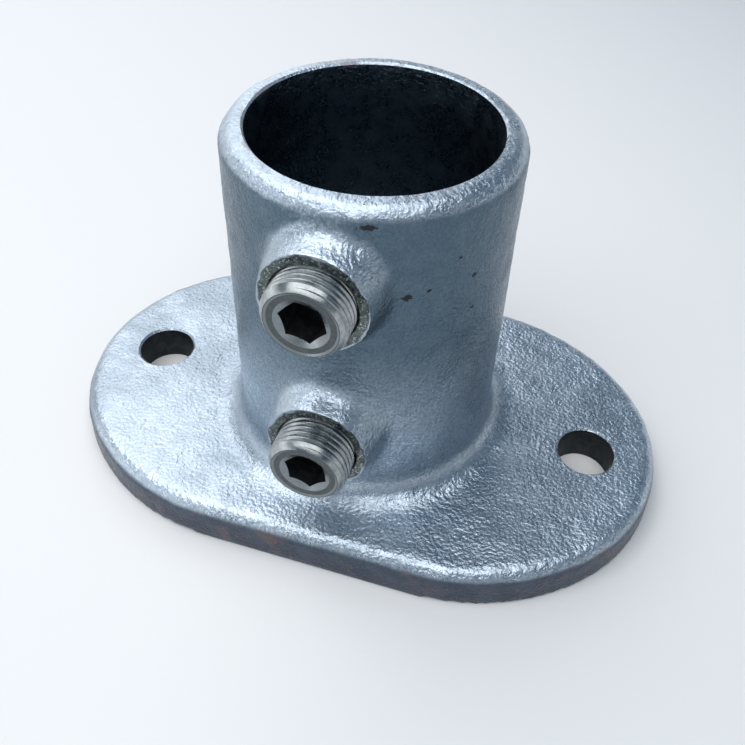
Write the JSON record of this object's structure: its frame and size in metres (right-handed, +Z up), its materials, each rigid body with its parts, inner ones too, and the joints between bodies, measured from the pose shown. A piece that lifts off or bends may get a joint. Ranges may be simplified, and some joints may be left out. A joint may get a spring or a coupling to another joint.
{
  "type": "tube clamp base flange",
  "caption": "Oval base plate with an upright socket for a round handrail tube, clamped by hexagon-socket set screws in two side bosses.",
  "frame": {"origin": "on the tube's axis at the underside of the base plate", "axes": "+Z up along the tube, +X along the long side of the plate through both fixing holes, the set screws face -Y"},
  "size_m": [0.145, 0.0886, 0.087],
  "materials": {
    "galvanised_iron": "hot-dip galvanised, matt to satin, mottled",
    "set_screw_steel": "zinc-plated steel, satin"
  },
  "bodies": {
    "flange": {"flange_casting": "galvanised_iron"},
    "upper_screw": {"upper_set_screw": "set_screw_steel"},
    "lower_screw": {"lower_set_screw": "set_screw_steel"}
  },
  "joints": [
    {"name": "upper_screw_travel", "type": "slide", "parent": "flange", "child": "upper_screw", "axis": [0, -1, 0], "range_m": [-0.0027, 0.006]},
    {"name": "lower_screw_travel", "type": "slide", "parent": "flange", "child": "lower_screw", "axis": [0, -1, 0], "range_m": [-0.0041, 0.0046]}
  ]
}
